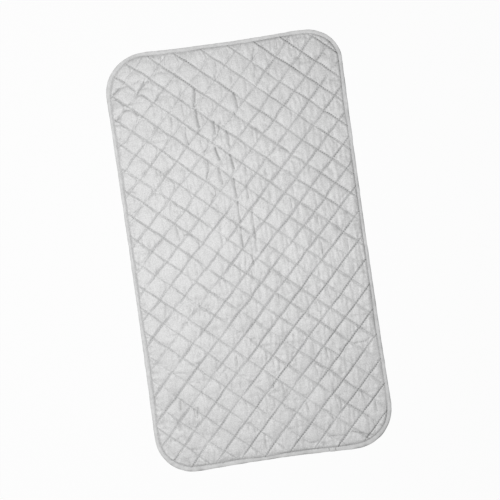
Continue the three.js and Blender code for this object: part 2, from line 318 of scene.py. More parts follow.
# Creases seen in the cloth, mostly where the pad was folded lengthwise: three points each and the depth
FOLDS = (
    (-62, 339, -65, 315, -67, 303, 2.0), (-65, 296, -66, 283, -63, 261, 2.2),
    (14, 318, 17, 305, 19, 289, 1.8), (14, 353, 14, 346, 13, 339, 1.3), (-34, 267, -33, 253, -34, 241, 1.6),
    (-25, 259, -23, 250, -30, 239, 1.1), (-10, 247, -8, 235, -10, 217, 1.7),
    (-37, 217, -35, 201, -32, 189, 1.9), (-11, 197, -9, 185, -6, 169, 1.7),
    (-37, 173, -34, 155, -32, 141, 1.6), (-9, 148, -9, 129, -8, 109, 1.7), (-8, 101, -9, 81, -8, 59, 1.5),
    (-10, 49, -9, 29, -9, 9, 1.6), (17, 169, 15, 145, 14, 105, 1.0), (17, 83, 18, 40, 16, -5, 1.4),
    (-92, 265, -92, 245, -89, 231, 1.2), (-57, 189, -56, 173, -63, 157, 1.3),
    (-65, 239, -65, 230, -64, 221, 1.1), (42, 245, 42, 236, 41, 227, 0.9),
    (-117, 289, -118, 278, -118, 267, 1.0), (-62, 139, -59, 127, -54, 117, 1.0),
    (98, 93, 98, 83, 99, 75, 1.0), (-50, 231, -51, 220, -60, 210, 1.0), (-50, 133, -50, 121, -58, 109, 1.0),
    (-14, 387, -14, 367, -18, 351, 1.0), (-93, 313, -93, 301, -92, 289, 0.8),
    (-89, 357, -88, 343, -94, 331, 0.7), (-140, 378, -126, 382, -112, 377, 1.0),
    (-189, 365, -180, 367, -171, 371, 0.9), (-144, 326, -137, 332, -104, 331, 0.8),
    (-160, 367, -150, 366, -143, 368, 0.7), (-166, 355, -160, 357, -154, 357, 0.7),
    (-196, 326, -188, 327, -178, 327, 0.6), (-226, 350, -219, 356, -213, 361, 1.2),
    (-213, 361, -204, 361, -197, 363, 0.8), (-161, 368, -163, 360, -168, 354, 1.2),
    (-168, 354, -174, 351, -180, 343, 1.0), (-188, 340, -181, 341, -172, 341, 0.9),
    (-172, 341, -165, 338, -160, 333, 1.2), (-214, 331, -210, 327, -205, 325, 1.2),
    (-205, 325, -199, 326, -193, 328, 1.0), (-224, 298, -219, 305, -212, 312, 1.2),
    (-210, 313, -204, 315, -196, 314, 1.3), (-192, 312, -186, 306, -181, 301, 1.0),
    (-229, 340, -223, 340, -219, 339, 1.1), (-229, 334, -221, 333, -215, 333, 1.0),
    (-229, 298, -224, 294, -220, 291, 1.2), (-230, 288, -224, 286, -216, 285, 0.9),
    (-63, 261, -65, 254, -70, 249, 0.9), (-30, 239, -34, 236, -39, 231, 1.1),
    (-10, 217, -8, 214, -5, 211, 0.9), (2, 282, 2, 277, 1, 272, 0.8), (10, 282, 11, 275, 12, 266, 0.9),
    (-142, 119, -142, 102, -142, 85, 0.9), (-139, 69, -137, 54, -136, 39, 1.1),
    (-124, 51, -110, 47, -102, 36, 1.1), (-102, 36, -98, 28, -98, 20, 0.9),
    (-132, 119, -130, 107, -120, 103, 0.8), (-224, 151, -217, 150, -210, 147, 0.9),
    (-110, -13, -110, -23, -109, -33, 0.7), (-9, -11, -9, -19, -10, -27, 0.8),
    (6, -12, 7, -20, 7, -31, 1.1), (114, 413, 115, 405, 115, 397, 1.0), (68, 403, 65, 391, 61, 381, 1.0),
    (64, 369, 63, 358, 62, 347, 1.1), (40, 341, 41, 331, 41, 321, 0.7), (140, 399, 141, 388, 141, 377, 0.7),
    (194, 293, 195, 285, 195, 277, 0.9), (200, 375, 212, 369, 227, 367, 1.1),
    (204, 379, 213, 382, 222, 382, 0.8), (188, 269, 194, 267, 200, 268, 0.8),
    (92, 195, 99, 193, 106, 189, 1.0), (156, 412, 167, 412, 178, 408, 0.9),
    (148, 95, 149, 84, 150, 73, 1.0), (147, 53, 147, 41, 148, 29, 1.1), (175, 73, 175, 65, 176, 57, 1.0),
    (128, 15, 128, 5, 128, -5, 0.8), (148, -3, 148, -15, 147, -27, 1.1), (201, -5, 201, -16, 200, -27, 1.0),
    (176, -41, 177, -48, 176, -55, 0.9), (-180, -280, -181, -290, -181, -300, 1.1),
    (-154, -302, -154, -317, -156, -332, 1.1), (-147, -300, -148, -311, -150, -322, 1.0),
    (-48, -305, -48, -316, -49, -327, 0.8), (-55, -210, -55, -217, -55, -225, 1.1),
    (-20, -372, -20, -388, -20, -402, 1.2), (-27, -325, -26, -333, -25, -340, 1.0),
    (-186, -150, -177, -148, -168, -147, 0.8), (-202, -360, -191, -354, -180, -352, 0.9),
    (-150, -211, -140, -212, -130, -211, 0.9), (-67, -340, -57, -344, -47, -345, 0.8),
    (-185, -225, -172, -227, -160, -227, 0.7), (-170, -382, -161, -383, -152, -382, 0.8),
    (-80, -240, -80, -246, -80, -252, 0.8), (47, -70, 48, -94, 47, -117, 0.8),
    (147, -95, 148, -105, 149, -115, 1.1), (121, -120, 122, -130, 122, -140, 0.8),
    (187, -159, 201, -160, 215, -159, 1.0), (185, -215, 205, -215, 220, -207, 1.1),
    (130, -175, 130, -185, 130, -195, 0.8), (102, -202, 102, -213, 101, -225, 1.0),
    (127, -217, 128, -229, 129, -240, 1.0), (101, -245, 102, -258, 102, -272, 1.2),
    (31, -230, 29, -240, 27, -250, 1.2), (12, -262, 12, -271, 11, -280, 1.0),
    (30, -275, 31, -288, 31, -302, 1.0), (37, -287, 37, -292, 36, -297, 1.1),
    (130, -290, 130, -299, 130, -307, 0.8), (72, -317, 74, -329, 77, -340, 1.1),
    (133, -320, 134, -335, 135, -350, 1.1), (140, -320, 141, -333, 141, -345, 0.8),
    (185, -310, 187, -320, 190, -330, 0.9), (210, -337, 211, -347, 212, -357, 1.0),
    (192, -362, 191, -381, 190, -400, 1.2), (201, -375, 202, -386, 202, -397, 1.1),
    (30, -367, 46, -366, 62, -365, 0.8), (70, -402, 78, -402, 85, -402, 1.2),
    (184, -405, 190, -402, 197, -402, 2.0), (107, -392, 123, -394, 140, -395, 1.0),
    (155, -390, 170, -395, 190, -401, 1.3), (5, -195, 20, -195, 35, -195, 0.7),
    (175, -275, 176, -285, 177, -295, 0.8),
)


def crinkle(seed, across, along, sharp):
    """Creases left by folding: valleys along the lines where a stretched smooth random height passes zero,
    steep on one side and gentle on the other, deep in some places and fading out in others."""
    side = cloth_noise(seed, across, along)
    line = np.exp(-np.where(side > 0, side / sharp, -side / (3 * sharp)))
    return -line * np.clip(cloth_noise(seed + 1, 2.2 * across, along), 0, 1.5)


def folded(x, y):
    """Depth of the traced creases, the strength of the shade painted into their core, and the shift that
    takes a thread lying beside one onto it. A crease rises from its line, straight from point to point, by an
    exponential of the distance, gentler on the left."""
    depth, core = np.zeros_like(x), np.zeros_like(x)
    shift = np.zeros((*x.shape, 2))
    for *line, deep in FOLDS:
        for x0, y0, x1, y1 in (line[:4], line[2:]):
            run_x, run_y = x1 - x0, y1 - y0
            share = np.clip(((x - x0) * run_x + (y - y0) * run_y) / (run_x**2 + run_y**2), 0, 1)
            right = x - x0 - share * run_x
            ahead = y - y0 - share * run_y
            away = np.hypot(np.where(right > 0, right, right / 2.2), ahead)
            depth = np.maximum(depth, deep * np.exp(-away / FOLD_WIDTH))
            away = np.hypot(right, ahead)
            beside = away < FOLD_CORE
            shift[beside] = -np.stack([right, ahead], -1)[beside]
            core = np.maximum(core, deep * np.where(beside, 1.0, np.exp((FOLD_CORE - away) / 0.4)))
    return depth, core, shift


def relax(points, form, spare, held, springs, rounds):
    """Cloth at rest by position based dynamics. Every thread from a point to its neighbours one and two
    places along the rows and across the squares is moved, in sets that share no point, towards its cut
    length, which is its length over the swollen wadding with the spare cloth added. After each pass the
    wadding draws every point towards its height, and the stitches draw theirs back to their place."""
    weight = np.where(held > 1, 0.0, np.where(held > 0, 0.5, 1.0)).astype(np.float32)[..., None]
    sets = []
    for i, j, stiff in ((1, 0, 1.0), (0, 1, 1.0), (1, 1, 0.6), (1, -1, 0.6), (2, 0, 0.05), (0, 2, 0.05)):
        stride = 2 * max(i, j)
        rows, columns = points.shape[0] - i, points.shape[1] - abs(j)
        for start in range(stride):
            first = [slice(0, rows), slice(max(0, -j), max(0, -j) + columns)]
            second = [slice(i, i + rows), slice(max(0, j), max(0, j) + columns)]
            along = 0 if i else 1
            last = rows if i else columns
            first[along] = slice(start, last, stride)
            second[along] = slice(start + (i or j), last + (i or j), stride)
            first, second = tuple(first), tuple(second)
            way = form[second] - form[first]
            way[..., :2] *= 1 + (spare[second] + spare[first]) / 2
            cut = np.linalg.norm(way, axis=-1, keepdims=True).astype(np.float32)
            share = weight[first] + weight[second]
            share = stiff * np.divide(1, share, out=np.zeros_like(share), where=share > 0)
            sets.append((first, second, cut, weight[first] * share, weight[second] * share))
    for _ in range(rounds):
        for first, second, cut, near, far in sets:
            gap = points[second] - points[first]
            gap *= 1 - cut / np.maximum(np.linalg.norm(gap, axis=-1, keepdims=True), 1e-6)
            points[first] += gap * near
            points[second] -= gap * far
        points[..., 2] += (form[..., 2] - points[..., 2]) * springs
        points[..., :2] += np.where(held[..., None] > 0, 0.3 * (form[..., :2] - points[..., :2]), 0)
    return points


sewn = (from_row < 0.01) & (inset > reach)
taped = inset <= reach
inside_tape = np.maximum(inset - reach, 0)
to_right = plan_x / HALF_WIDTH
corner_side = (plan_y / HALF_LENGTH - to_right) / 2  # 1 at the back left corner, -1 at the front right one
loose = np.clip(1.6 * corner_side - 0.4, 0, 1)
tight = 0.75 + 0.4 * to_right + np.interp(plan_y, (-400, -340), (0.35, 0))  # tighter at the right and front
tight *= np.clip(1 + 0.35 * cloth_noise(66, 24, 24), 0.4, 1.7)
slack = 1 - 0.18 * np.exp(-((plan_x / 130) ** 2))  # the stitches pull less hard along the middle
fold_zone = np.exp(-(((plan_x + 25) / 60) ** 2)) * np.interp(plan_y, (80, 160, 350, 390), (0, 1, 1, 0))


def clear_of_tape(width):
    """Share that grows in a straight line from 0 at the tape's inner edge to 1 at a width inside it."""
    return np.clip(inside_tape / width, 0, 1)


def beside_edge(from_edge, width):
    """Share that is 1 at the tape and fades with an exponential of the distance from it."""
    return np.exp(-np.maximum(from_edge - TAPE_INSET, 0) / width)


def row_dip(pull, distance, width):
    """Dip of the cloth beside a row: its pull, up to 1.1, in a bell that falls off as the distance cubed."""
    return np.minimum(pull, 1.1) / (1 + (distance / width / 1.25) ** 2) ** 1.5


# How hard each row pulls, from row to row and from place to place, and the dips and grooves that this gives
rising_pull = np.interp(row_a, (-11, -4, 0, 4, 8, 12), (0.55, 0.75, 0.95, 1.2, 1.65, 1.8))
rising_pull *= 1 + 0.22 * to_right
rising_pull *= np.clip(1 + 0.36 * cloth_noise(27, 21, 21), 0.4, 1.6) * slack * (1 - 0.5 * fold_zone)
falling_pull = np.interp(row_b, (-12, -8, -5, -2, 1, 4, 7, 10),
                         (0.65, 0.55, 0.75, 0.68, 0.52, 0.78, 0.95, 1.3))
falling_pull *= 1 + 0.2 * to_right + np.interp(plan_y, (290, 350), (0, 0.3))
falling_pull *= np.clip(1 + 0.36 * cloth_noise(26, 21, 21), 0.4, 1.6) * slack * (1 + 0.25 * fold_zone)
rising_width = np.clip(1.45 + 0.4 * corner_side + 0.25 * cloth_noise(28, 50, 50), 1.0, 2.1)
rising_width *= np.where(row_a % 1 < 0.5, STEEP_SIDE, GENTLE_SIDE)
falling_width = np.clip(1.4 - 0.9 * corner_side + 0.25 * cloth_noise(29, 50, 50), 1.0, 3.2)
falling_width *= np.where(row_b % 1 < 0.5, STEEP_SIDE, GENTLE_SIDE)
rising_dip = row_dip(rising_pull, from_rising, rising_width) * (1 - 0.4 * loose)
falling_dip = row_dip(falling_pull, from_falling, falling_width)
dip = 1 - (1 - rising_dip) * (1 - falling_dip)
dip = np.maximum(dip, (1.05 + 0.4 * tight) / (1 + (inside_tape / 1.8) ** 2))
rising_groove = np.minimum(rising_pull, 1.6) * np.clip(1 - from_rising / GROOVE_WIDTH, 0, 1)
falling_groove = np.minimum(falling_pull, 1.6) * np.clip(1 - from_falling / GROOVE_WIDTH, 0, 1)
groove = np.maximum(rising_groove, falling_groove) * clear_of_tape(3)

# Domes of the diamonds
off_rising = 1 - 2 * from_rising / RISING_PITCH
off_falling = 1 - 2 * from_falling / FALLING_PITCH
dome = SWELL * (1 - off_rising**2) * (1 - off_falling**2) * (0.9 - 0.2 * corner_side)
off_middle = (off_rising**PILLOW_SHAPE + off_falling**PILLOW_SHAPE) ** (1 / PILLOW_SHAPE)
rim = np.clip((1.02 - off_middle - 0.07 * cloth_noise(64, 13, 13)) / 0.3, 0, 1)
dome = (dome + PILLOW * loose * rim**2 * (3 - 2 * rim)) * clear_of_tape(14)

# Creases and small ridges, mostly along the pad, and square to the tape beside it
from_side = HALF_WIDTH - np.abs(plan_x)
from_end = HALF_LENGTH - np.abs(plan_y)
creases = 0.4 * crinkle(33, 12, 40, 0.1) * (0.8 + 1.6 * fold_zone)
creases += 0.7 * crinkle(35, 6, 18, 0.16) + 0.7 * crinkle(37, 18, 6, 0.16)
creases *= 0.8 - 0.15 * corner_side
creases += (1.1 + 0.4 * to_right) * crinkle(49, 20, 4.5, 0.25) * beside_edge(from_side, 16)
creases += 1.1 * crinkle(55, 4.5, 20, 0.25) * beside_edge(from_end, 13)
ridges = 0.2 * cloth_noise(43, 1.9, 13) + 0.12 * cloth_noise(45, 4.5, 17) + 0.1 * cloth_noise(46, 2.2, 2.2)
ridges *= np.clip(from_row / 4, 0, 1) * (0.9 - 0.3 * corner_side)
ridges += 0.5 * cloth_noise(47, 14, 3.2) * beside_edge(from_side, 14)
ridges += 0.5 * cloth_noise(48, 3.2, 14) * beside_edge(from_end, 12)
ridges *= clear_of_tape(3)

# The cloth over the swollen wadding, relaxed, then creased
face_goal = STITCHED_TOP + ROW_DEPTH * (1 - dip) + dome - GROOVE * groove
face_goal += 0.14 * cloth_noise(31, 24, 24) * clear_of_tape(10)
face_goal = np.where(taped, TAPED_TOP, face_goal)
spare = np.clip(1 + 0.5 * cloth_noise(39, 28, 34), 0.1, 2.2)[..., None] * (SPARE_ACROSS, SPARE_ALONG)
spare[..., 0] += 0.03 * beside_edge(from_end, 16)
spare[..., 1] += 0.035 * beside_edge(from_side, 16)
face_held = np.where(inset < CUT_INSET - 3, 2, np.where(sewn | taped, 1, 0))
springs = np.where(face_held > 0, 0.15, 0.02).astype(np.float32)
form = np.stack([plan_x, plan_y, face_goal], -1).astype(np.float32)
face = form.copy()
face[..., 2] += 0.15 * cloth_noise(41, 6, 9) * clear_of_tape(4)
face = relax(face, form, spare.astype(np.float32), face_held, springs, RELAX_ROUNDS)
waver_x, waver_y = (0.5 * cloth_noise(seed, 9, 9) for seed in (61, 62))
fold_depth, fold_core, fold_shift = folded(face[..., 0] + waver_x, face[..., 1] + waver_y)
fold_core *= np.clip(0.75 + 0.4 * cloth_noise(63, 7, 7), 0.2, 1.2)
face[..., :2] += np.where((from_row > 1)[..., None], fold_shift, 0)
creases = np.minimum(creases, -1.1 * fold_depth) * clear_of_tape(4)
face[..., 2] = np.where(taped, face[..., 2], np.maximum(face[..., 2] + creases + ridges, LOWEST_CREASE))
face[..., 0], face[..., 1] = onto_cut(face[..., 0], face[..., 1], CUT_INSET)
face_kept, face_squares = cut_sheet(inset > CUT_INSET)
cover = new_piece("face_cloth", face[face_kept], face_squares)


def map_surface(piece, name, across, along):
    """UV map of a piece from two values per vertex, so that a pattern follows the cloth."""
    corner = np.zeros(len(piece.data.loops), np.int32)
    piece.data.loops.foreach_get("vertex_index", corner)
    layer = piece.data.uv_layers.new(name=name)
    layer.data.foreach_set("uv", np.stack([across, along], -1)[corner].astype(np.float32).ravel())


def mark_surface(piece, name, amount):
    """Attribute of a piece from one value per vertex, for its material to read."""
    layer = piece.data.attributes.new(name, "FLOAT", "POINT")
    layer.data.foreach_set("value", amount.astype(np.float32).ravel())


map_surface(cover, "rows", row_a[face_kept], row_b[face_kept])
# Painted shade for the face's colour: dark in deep creases, in the cores of the traced folds, and in the
# ditch beside the tape, more where the tape is tight
crease_shade = 0.8 * np.clip(-creases - 0.4, 0, 1) + 0.6 * np.minimum(fold_core, 1.3) * clear_of_tape(4)
crease_shade += tight * np.exp(-inside_tape / 1.6)
mark_surface(cover, "crease", crease_shade[face_kept])
mark_surface(cover, "rising_pull", rising_pull[face_kept] ** 1.6)
mark_surface(cover, "falling_pull", falling_pull[face_kept] ** 1.6)

# Aluminised cotton drill: a thin metal coat on a close weave, so a soft grey sheen, a little duller where the
# crumples are rubbed. Shade is painted dark into its colour along the rows, round the needle holes 4.9 mm
# apart, in the creases and beside the tape; the 0.4 mm weave is drawn at 1 mm.
STITCH = 4.9
silver = new_material("aluminised cotton drill")
place = node(silver, "TexCoord").outputs["Object"]
threads = {"Vector": place, "Scale": wave_scale(1.0 * MM), "Distortion": 0.4, "Detail": 1.0}
warp, weft = (node(silver, "TexWave", threads, bands_direction=way) for way in "XY")
weave = node(silver, "Math", {0: warp.outputs["Fac"], 1: weft.outputs["Fac"]}, operation="MULTIPLY")
crumple = node(silver, "TexNoise", {"Vector": place, "Scale": 1 / (5 * MM), "Detail": 4.0, "Roughness": 0.72})

# Painted shade in hairline creases 7 mm apart: lines where a stretched noise passes its middle value, in
# patches
stretch = node(silver, "Mapping", {"Vector": place, "Scale": (1 / (7 * MM), 1 / (30 * MM), 1.0)})
streak = node(silver, "TexNoise", {"Vector": stretch, "Scale": 1.0, "Detail": 2.0})
off_line = node(silver, "Math", {0: streak, 1: 0.5}, operation="SUBTRACT")
off_line = node(silver, "Math", {0: off_line}, operation="ABSOLUTE")
line = node(silver, "MapRange",
            {"Value": off_line, "From Min": 0.0, "From Max": 0.045, "To Min": 1.0, "To Max": 0.0},
            interpolation_type="SMOOTHSTEP")
patch = node(silver, "TexNoise", {"Vector": place, "Scale": 1 / (28 * MM), "Detail": 1.0})
patch = node(silver, "MapRange", {"Value": patch, "From Min": 0.42, "From Max": 0.65})
hairline = node(silver, "Math", {0: line, 1: patch}, operation="MULTIPLY")
# painted shade, gathered from here on: first the hairlines
painted_shade = node(silver, "Math", {0: hairline, 1: 0.14}, operation="MULTIPLY")
# the creases, folds and tape ditch add their painted shade from the crease attribute
crease = node(silver, "Attribute", attribute_name="crease")
painted_shade = node(silver, "Math", {0: crease.outputs["Fac"], 1: 0.4, 2: painted_shade}, operation="MULTIPLY_ADD")

# Painted shade along the rows, darkest round the needle holes and where a row pulls hard
rows = node(silver, "UVMap", uv_map="rows")
row_number = node(silver, "SeparateXYZ", {"Vector": rows})
for axis, along, pitch, spacing, pull in (("X", "Y", RISING_PITCH, FALLING_PITCH, "rising_pull"),
                                          ("Y", "X", FALLING_PITCH, RISING_PITCH, "falling_pull")):
    near = node(silver, "Math", {0: row_number.outputs[axis], 1: 0.5}, operation="PINGPONG")
    line = node(silver, "MapRange", {"Value": near, "From Min": 0.2 / pitch, "From Max": 1.4 / pitch,
                                     "To Min": 1.0, "To Max": 0.0}, interpolation_type="SMOOTHSTEP")
    hole = node(silver, "Math", {0: row_number.outputs[along], 1: STITCH / spacing / 2}, operation="PINGPONG")
    hole = node(silver, "MapRange", {"Value": hole, "From Min": 0.2 / spacing, "From Max": 1.7 / spacing,
                                     "To Min": 0.52, "To Max": 0.14}, interpolation_type="SMOOTHSTEP")
    pulled = node(silver, "Attribute", attribute_name=pull)
    hole = node(silver, "Math", {0: hole, 1: pulled.outputs["Fac"]}, operation="MULTIPLY")
    painted_shade = node(silver, "Math", {0: line, 1: hole, 2: painted_shade}, operation="MULTIPLY_ADD")

cloud = node(silver, "TexNoise", {"Vector": place, "Scale": 1 / (60 * MM), "Detail": 3.0})
grain = node(silver, "TexNoise", {"Vector": place, "Scale": 1 / (2.5 * MM), "Detail": 2.0})
tone = node(silver, "Math", {0: cloud, 1: 0.28, 2: grain}, operation="MULTIPLY_ADD")
colour = node(silver, "ValToRGB", {"Fac": tone}, stops=((0.44, "#c6c6c6"), (0.84, "#dfdfdf")))
# the painted shade darkens the colour towards this dark grey
colour = node(silver, "Mix", {"Factor": painted_shade, 6: colour, 7: linear("#6c6c6c")}, data_type="RGBA")
gloss = node(silver, "MapRange", {"Value": crumple, "To Min": 0.48, "To Max": 0.62})
fine = node(silver, "Bump", {"Height": weave, "Strength": 0.25, "Distance": 0.1 * MM})
relief = node(silver, "Bump", {"Height": crumple, "Strength": 0.25, "Distance": 0.8 * MM, "Normal": fine})
shade = node(silver, "BsdfPrincipled",
             {"Base Color": colour.outputs[2], "Metallic": 0.15, "Roughness": gloss, "Normal": relief})
node(silver, "OutputMaterial", {"Surface": shade})
cover.data.materials.append(silver)
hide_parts("top_cover")
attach(cover, "root")

# Wadding
# Springy polyester fibre batt between the two cloths. The rows squeeze it thin and it swells between them,
# so its top is the face's own form a little lower; round holes in it take the magnets.

WADDING_INSET = CUT_INSET + 1
WADDING_GAP = 0.3  # it is drawn this far from the cloths
WADDING_LEAST = 0.12
HOLE_MARGIN = 1.2

wad_top = face[..., 2].copy()
for turn in (-1, 1):
    for way in (0, 1):
        wad_top = np.minimum(wad_top, np.roll(wad_top, turn, way))
wad_kept, top_faces = cut_sheet(inset[alternate] > WADDING_INSET)
wad_low = backing_height + WADDING_GAP
for magnet in MAGNETS:
    low, high = (np.array(p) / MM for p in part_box(magnet))
    middle = (low + high) / 2
    hole = (high[0] - low[0]) / 2 + HOLE_MARGIN
    over = np.hypot(plan_x - middle[0], plan_y - middle[1])[alternate] < hole
    wad_low = np.where(over, high[2] + 0.15, wad_low)
wad_high = np.maximum(wad_top[alternate] - WADDING_GAP, wad_low + WADDING_LEAST)
wad_x, wad_y = onto_cut(face[..., 0][alternate], face[..., 1][alternate], WADDING_INSET)
wad_points = np.concatenate([np.stack([wad_x, wad_y, z], -1)[wad_kept] for z in (wad_high, wad_low)])
count = int(wad_kept.sum())
edges = np.concatenate([top_faces[:, [k, (k + 1) % 4]] for k in range(4)])
order = np.sort(edges, axis=1) @ (count, 1)
_, single, uses = np.unique(order, return_index=True, return_counts=True)
rim = edges[single[uses == 1]]
rim_faces = np.stack([rim[:, 1], rim[:, 0], rim[:, 0] + count, rim[:, 1] + count], -1)
wad_faces = np.concatenate([top_faces, top_faces[:, ::-1] + count, rim_faces])
wadding = new_piece("wadding_fill", wad_points, wad_faces)

# Polyester wadding: white crimped fibre, dull and cloudy, in tufts 2 mm across.
batt = new_material("polyester fibre wadding")
place = node(batt, "TexCoord").outputs["Object"]
fibre = node(batt, "TexNoise",
             {"Vector": place, "Scale": 1 / (2 * MM), "Detail": 8.0, "Roughness": 0.75, "Distortion": 1.5})
colour = node(batt, "ValToRGB", {"Fac": fibre}, stops=((0.3, "#dcdbd6"), (0.7, "#f4f3ef")))
relief = node(batt, "Bump", {"Height": fibre, "Strength": 0.6, "Distance": 0.5 * MM})
shade = node(batt, "BsdfPrincipled",
             {"Base Color": colour, "Roughness": 0.95, "Specular IOR Level": 0.2, "Normal": relief})
node(batt, "OutputMaterial", {"Surface": shade})
wadding.data.materials.append(batt)
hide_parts("wadding")
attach(wadding, "root")

# Quilting threads
# Grey polyester thread in lockstitch along every row: the needle thread lies on the face, the bobbin thread
# on the backing, and they cross in the needle holes 4.9 mm apart.

THREAD = 0.55  # drawn twice as thick as the real 0.25 mm, which the render could not show


def row_stitches(surface, row_axis):
    """Ends of every stitch on one family of rows: the cloth's own points along each row, read between at
    equal steps of one stitch and kept where the whole stitch is clear of the tape."""
    lines = surface[::CLOTH_STEPS] if row_axis == 0 else surface[:, ::CLOTH_STEPS].transpose(1, 0, 2)
    pitch = FALLING_PITCH if row_axis == 0 else RISING_PITCH
    places = np.arange(ROW_FIRST, ROW_LAST, STITCH / pitch)
    step = np.interp(places, thread_lines, np.arange(len(thread_lines)))
    low = np.minimum(step.astype(int), lines.shape[1] - 2)
    part = (step - low)[None, :, None]
    knots = lines[:, low] * (1 - part) + lines[:, low + 1] * part
    first, second = knots[:, :-1].reshape(-1, 3), knots[:, 1:].reshape(-1, 3)
    inside = np.minimum(inset_of(*first[:, :2].T), inset_of(*second[:, :2].T))
    clear = inside > TAPE_INSET + 1
    return first[clear], second[clear]


def stitch_mesh(name, first, second, up):
    """Stitches as short fat threads: closed four-sided tubes from hole to hole that rise by their own
    thickness in the middle and narrow to the holes."""
    along = second - first
    length = np.linalg.norm(along, axis=1, keepdims=True)
    along = along / length
    lift = np.array((0, 0, up), float) - along * along[:, 2:] * up
    lift /= np.linalg.norm(lift, axis=1, keepdims=True)
    side = np.cross(along, lift)
    share = np.array((0.03, 0.22, 0.78, 0.97))
    radius = np.array((0.4, 1, 1, 0.4))
    rise = np.array((-0.2, 0.6, 0.6, -0.2))
    turn = np.arange(4) * np.pi / 2
    centre = first[:, None] + (second - first)[:, None] * share[:, None]
    centre = centre + lift[:, None] * (rise * THREAD)[:, None]
    ring = np.cos(turn)[:, None] * side[:, None, None] + np.sin(turn)[:, None] * lift[:, None, None]
    points = centre[:, :, None] + ring * (radius * THREAD / 2)[:, None, None]
    corner = np.arange(16).reshape(4, 4)
    around = np.roll(corner, -1, axis=1)
    wall = np.stack([corner[:-1], corner[1:], around[1:], around[:-1]], -1).reshape(-1, 4)
    wall = np.concatenate([wall, corner[:1], corner[-1:, ::-1]])
    start = np.arange(len(first))[:, None, None] * 16
    piece = new_piece(name, points.reshape(-1, 3), (wall + start).reshape(-1, 4))
    v = np.broadcast_to(share[None, :, None], points.shape[:3]) * length[:, :, None]
    u = np.broadcast_to(turn[None, None, :], points.shape[:3]) / (2 * np.pi)
    map_surface(piece, "twist", u.ravel(), v.ravel())
    return piece


# Spun polyester sewing thread: three plies twisted together, so slanting stripes 0.7 mm apart, low in sheen.
PLIES = 3.0
PLY_SPACING = 0.7
thread = new_material("grey polyester sewing thread")
twist = node(thread, "UVMap", uv_map="twist")
slant = node(thread, "Mapping", {"Vector": twist, "Scale": (PLIES, 1 / PLY_SPACING, 1.0)})
ply = node(thread, "TexWave", {"Vector": slant, "Scale": wave_scale(1)}, bands_direction="DIAGONAL")
colour = node(thread, "ValToRGB", {"Fac": ply.outputs["Fac"]}, stops=((0.1, "#b9babb"), (0.8, "#e4e5e5")))
relief = node(thread, "Bump", {"Height": ply.outputs["Fac"], "Strength": 0.5, "Distance": 0.1 * MM})
shade = node(thread, "BsdfPrincipled",
             {"Base Color": colour, "Roughness": 0.5, "Specular IOR Level": 0.4, "Normal": relief})
node(thread, "OutputMaterial", {"Surface": shade})
under_height = np.interp(inset, (TAPE_INSET, TAPE_INSET + 5), (0.7, 0.6))
under = np.stack([plan_x, plan_y, under_height], -1)
for name, surface, axis, up in (
    ("needle_thread_rising_rows", face, 0, 1),
    ("needle_thread_falling_rows", face, 1, 1),
    ("bobbin_thread_rising_rows", under, 0, -1),
    ("bobbin_thread_falling_rows", under, 1, -1),
):
    rows = stitch_mesh(name, *row_stitches(surface, axis), up)
    rows.data.materials.append(thread)
    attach(rows, "root")

# Edge binding
# Woven polyester tape folded over the cut edges of all three layers and sewn through them. It runs once round
# the pad; its end is turned under and laps over its start on the front edge, right of the middle.

TAPE_THICKNESS = 0.5
TAPE_STEP = 2.2  # distance between the sections drawn along it
LAP_MIDDLE = 111.0  # from the middle of the front edge
LAP_LENGTH = 11.0
LAP_STEPS = (-2, -1.4, -0.9, -0.4, -0.1, 0.1, 0.4, 0.9, 1.4, 2)  # closer sections at each end of the lap
LAP_PROUD = 0.6
# Section of the folded tape, from its upper inner edge over the fold to the lower one: inset and height
SECTION = np.array([
    (7.6, 2.75), (7.1, 2.9), (6.4, 2.7), (5.8, 3.15), (5.1, 3.4), (4.4, 3.3), (3.6, 2.95),
    (2.9, 2.9), (2.0, 2.9), (1.1, 2.5), (0.4, 1.8), (0.1, 1.3), (0.0, 0.9), (0.4, 0.5),
    (1.2, 0.2), (2.6, 0.05), (4.4, 0.0), (5.6, 0.05), (6.4, 0.6), (7.1, 0.1), (7.6, 0.1),
])


def edge_path(length):
    """Point on the bound outline and its outward direction at a distance run round it, from the middle of
    the front edge towards the right: four straight sides and four quarter circles in turn."""
    right, back, radius = np.repeat(np.array(CORNERS), 2, axis=0).T
    turn = np.radians((-90, 0, 0, 90, 90, 180, 180, 270))
    x, y = right * (HALF_WIDTH - radius), back * (HALF_LENGTH - radius)
    turn, radius, x, y = (np.concatenate([v[:1], v, v[-1:]]) for v in (turn, radius, x, y))
    x[[0, -1]] = 0
    run = np.hypot(np.diff(x), np.diff(y))
    run[1::2] = radius[1:-1:2] * np.pi / 2
    run[2:-1:2] = np.hypot(np.diff(x + radius * np.cos(turn)), np.diff(y + radius * np.sin(turn)))[2:-1:2]
    runs = np.concatenate([[0], np.cumsum(run)])
    x, y, radius, turn = (np.interp(length % runs[-1], runs, v) for v in (x, y, radius, turn))
    out = np.stack([np.cos(turn), np.sin(turn)], -1)
    return np.stack([x, y], -1) + radius[:, None] * out, out


edge_round = 4 * (HALF_WIDTH + HALF_LENGTH) - (2 - np.pi / 2) * sum(corner[2] for corner in CORNERS)
lap_ends = LAP_MIDDLE + LAP_LENGTH / 2 * np.array((-1, 1))
lap_stations = np.add.outer(lap_ends, LAP_STEPS).ravel()
stations = np.concatenate([np.arange(0, edge_round - 1, TAPE_STEP), lap_stations])
stations = np.unique(stations.round(2))
slope = np.gradient(SECTION, axis=0)
inward = np.stack([-slope[:, 1], slope[:, 0]], -1)
inward /= np.linalg.norm(inward, axis=1, keepdims=True)
lining = SECTION + TAPE_THICKNESS * inward
beyond = np.maximum(lap_ends[0] - stations, stations - lap_ends[1])
notch = np.exp(-(((beyond - 0.9) / 0.6) ** 2))  # the lap's turned ends are sewn down across the tape
lap = np.where(beyond < 0, LAP_PROUD, 0.0) - 0.9 * notch
edge, outward = edge_path(stations)
pucker_in, pucker_up = (soft_noise(seed, *(edge.T * 0.5), size, size) for seed, size in ((51, 4), (52, 5)))


